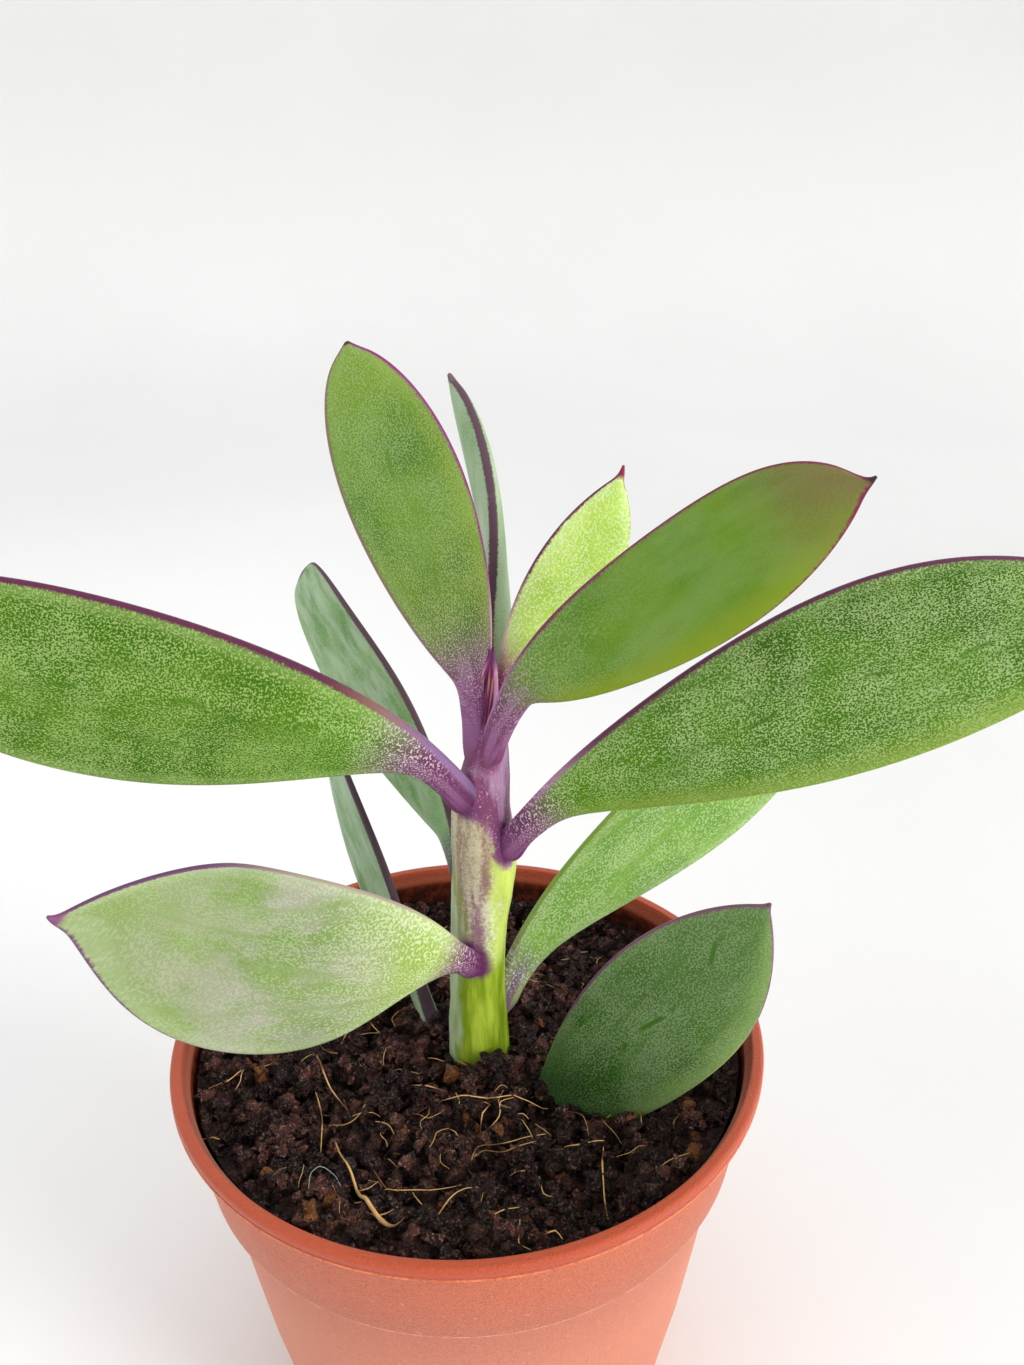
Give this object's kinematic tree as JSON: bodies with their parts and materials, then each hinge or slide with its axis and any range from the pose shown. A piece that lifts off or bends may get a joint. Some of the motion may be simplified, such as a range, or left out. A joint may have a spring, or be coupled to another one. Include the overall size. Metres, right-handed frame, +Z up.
{
  "type": "potted vertical leaf senecio",
  "caption": "Upright succulent with flat fleshy leaves held edge up on a short purple-tinged stem, growing in a small tapered terracotta-coloured plastic pot of dark coir soil.",
  "frame": {"origin": "centre of the pot's underside", "axes": "+Z up along the pot's axis, -Y towards the viewer of the picture, +X to the viewer's right"},
  "size_m": [0.145, 0.085, 0.1626],
  "materials": {
    "pot_plastic": "satin",
    "soil_coir": "matte",
    "stem_skin": "satin",
    "leaf_skin": "satin",
    "pale_leaf_skin": "satin",
    "young_leaf_skin": "satin",
    "bud_skin": "satin"
  },
  "bodies": {
    "root": {"pot": "pot_plastic", "soil": "soil_coir", "stem": "stem_skin", "leaf_left_long": "leaf_skin", "leaf_right_long": "leaf_skin", "leaf_low_left": "pale_leaf_skin", "leaf_top_right": "leaf_skin", "leaf_top_left": "leaf_skin", "leaf_top_small": "young_leaf_skin", "leaf_top_back": "leaf_skin", "leaf_back_right": "leaf_skin", "leaf_low_right": "leaf_skin", "leaf_back_left": "leaf_skin", "leaf_low_back_left": "leaf_skin", "bud_leaf": "bud_skin"}
  },
  "joints": []
}
